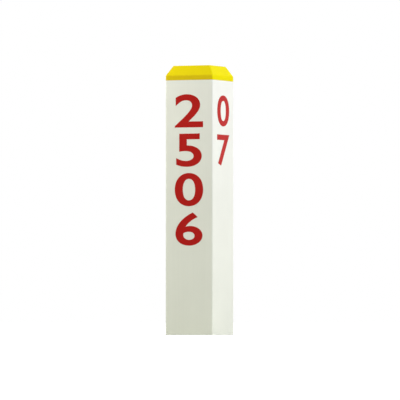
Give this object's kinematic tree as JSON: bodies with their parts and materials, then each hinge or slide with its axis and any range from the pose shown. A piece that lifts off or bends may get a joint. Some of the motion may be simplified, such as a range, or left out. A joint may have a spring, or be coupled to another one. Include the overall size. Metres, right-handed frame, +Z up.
{
  "type": "utility marker post",
  "caption": "Square hollow marker post with a bevelled yellow cap and red numerals up its faces, set in the ground to mark a buried cable route.",
  "frame": {"origin": "centre of the post's foot, on the surface it stands on", "axes": "+Z up the post, -Y out of the front with the tall number, +X out of the side with the short number"},
  "size_m": [0.15, 0.15, 0.78],
  "materials": {
    "post_white": "white polyester glass fibre, satin, as drawn through a polished die",
    "cap_yellow": "moulded ABS, coloured through, with a fine even grain",
    "numeral_red": "satin cast vinyl film, cut and stuck on"
  },
  "bodies": {
    "root": {"post_tube": "post_white", "top_cap": "cap_yellow"}
  },
  "joints": []
}
